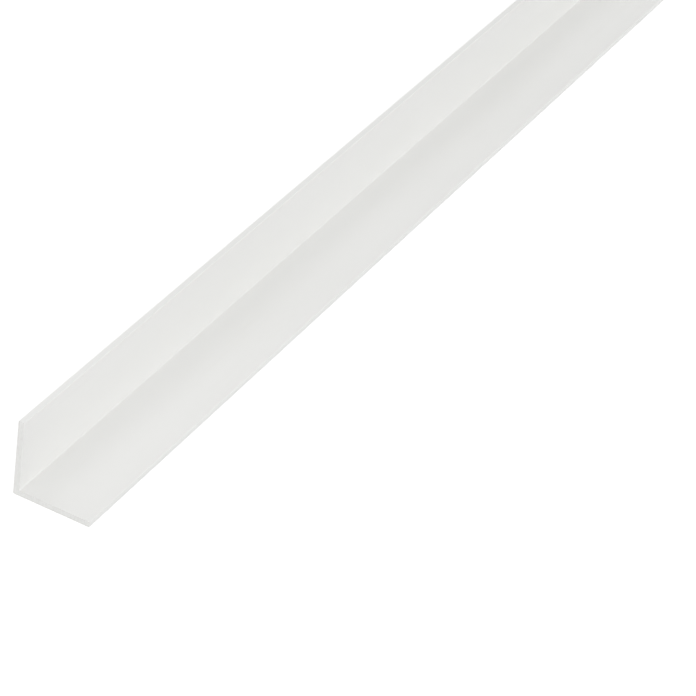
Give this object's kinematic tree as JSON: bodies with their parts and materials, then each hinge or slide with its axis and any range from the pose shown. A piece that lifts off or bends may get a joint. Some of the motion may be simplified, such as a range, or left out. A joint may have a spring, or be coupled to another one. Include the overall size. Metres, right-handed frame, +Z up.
{
  "type": "corner guard moulding",
  "caption": "White vinyl corner guard moulding: a thin-walled angle with equal legs, extruded in one piece and sawn square, that covers and protects a wall's outside corner.",
  "frame": {"origin": "middle of the flat leg's underside, at half of the length", "axes": "+X along the length, +Y from the flat leg's toe towards the upright leg, +Z up along the upright leg"},
  "size_m": [1, 0.02, 0.02],
  "materials": {
    "white_vinyl": "satin"
  },
  "bodies": {
    "root": {"corner_guard": "white_vinyl"}
  },
  "joints": []
}
